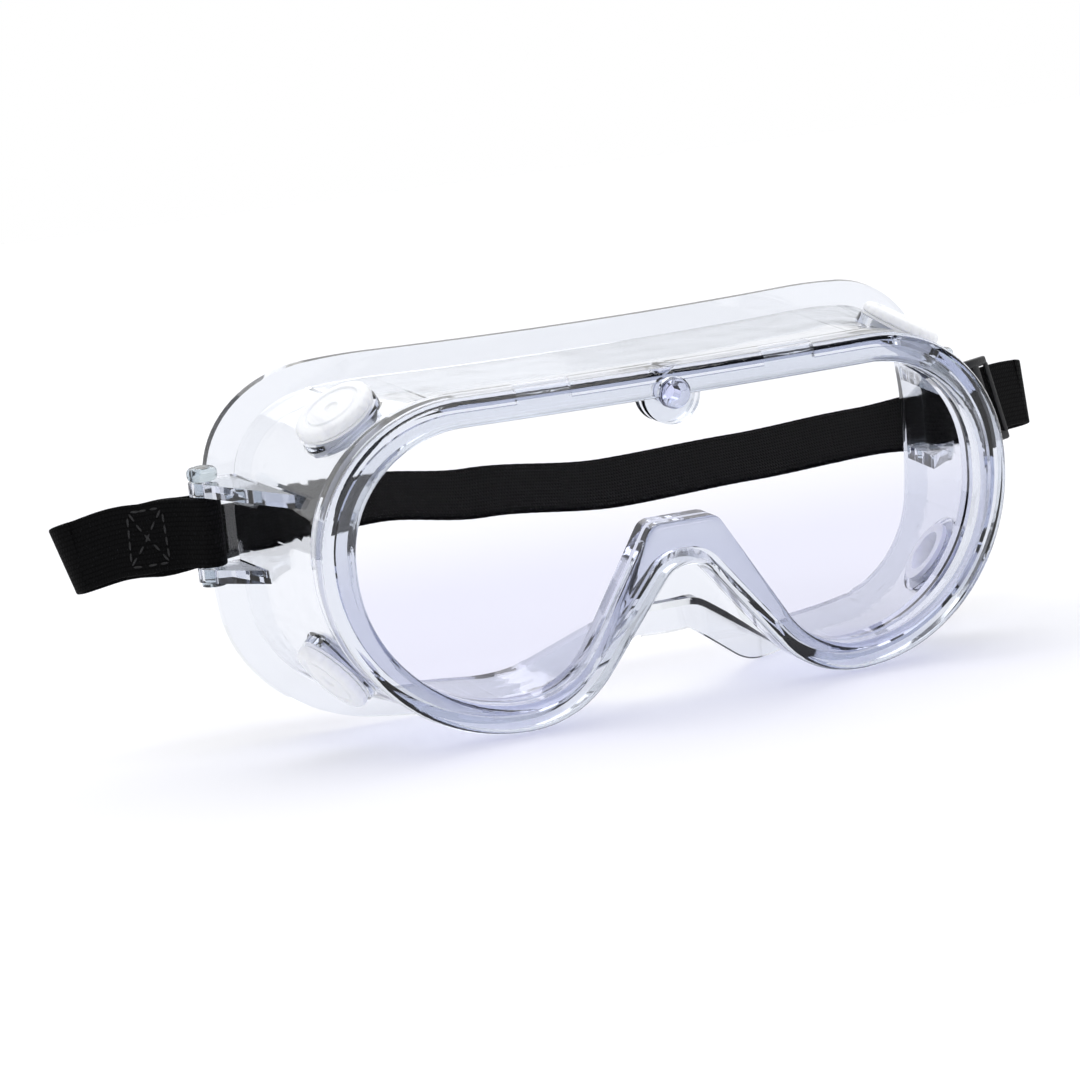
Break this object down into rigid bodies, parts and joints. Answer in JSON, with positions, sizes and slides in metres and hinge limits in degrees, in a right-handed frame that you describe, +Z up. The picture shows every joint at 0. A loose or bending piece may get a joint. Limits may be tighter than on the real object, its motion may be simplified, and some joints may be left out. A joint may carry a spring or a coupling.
{
  "type": "safety goggles",
  "caption": "Clear splash safety goggles: soft frame with face skirt, curved lens, round indirect vents, side lugs and a black elastic head strap with an adjuster slide.",
  "frame": {"origin": "bottom centre of the whole object's box, on the surface that the goggles stand on", "axes": "+X to the side, across the lens; +Y from the lens to the wearer's face; +Z up. The goggles stand on the lens lobes and the lower edge of the face flange, so the lens leans forward by 5.6 degrees."},
  "size_m": [0.241, 0.0872, 0.083],
  "materials": {
    "clear_vinyl": "clear soft vinyl, glossy, faint blue cast in thick edges",
    "clear_lens": "clear polished polycarbonate",
    "clear_stud": "clear moulded plastic",
    "white_vent": "milky white moulded plastic",
    "lug_pin": "pale grey clear moulded plastic",
    "black_elastic": "woven elastic webbing, matt black",
    "strap_thread": "black sewing thread",
    "black_slide": "moulded black plastic, fine satin"
  },
  "bodies": {
    "frame": {"frame": "clear_vinyl", "lens": "clear_lens", "lens_stud": "clear_stud", "vent_base_top_left": "white_vent", "vent_base_top_right": "white_vent", "vent_cap_top_left": "white_vent", "vent_cap_top_right": "white_vent", "vent_base_bottom_left": "white_vent", "vent_base_bottom_right": "white_vent", "vent_cap_bottom_left": "white_vent", "vent_cap_bottom_right": "white_vent", "lug_pin_left": "lug_pin", "lug_pin_right": "lug_pin", "strap_loop_left": "black_elastic", "strap_loop_right": "black_elastic"},
    "strap_sides": {"strap_run_left": "black_elastic", "strap_run_right": "black_elastic", "strap_tail_left": "black_elastic", "strap_tail_right": "black_elastic", "strap_seam": "strap_thread"},
    "strap_rear": {"strap_band": "black_elastic"},
    "slide": {"adjuster_slide": "black_slide"}
  },
  "joints": [
    {"name": "strap_swing", "type": "hinge", "parent": "frame", "child": "strap_sides", "pos_m": [0, 0.01658, 0.04879], "axis": [1, 0, 0], "range_deg": [-10, 45], "stiffness_Nm_per_rad": 0.6},
    {"name": "strap_stretch", "type": "slide", "parent": "strap_sides", "child": "strap_rear", "axis": [0, 0.9767, -0.2147], "range_m": [0, 0.045], "stiffness_N_per_m": 60},
    {"name": "slide_adjust", "type": "slide", "parent": "strap_sides", "child": "slide", "axis": [0.891, 0.4434, -0.0975], "range_m": [0, 0.008]}
  ]
}
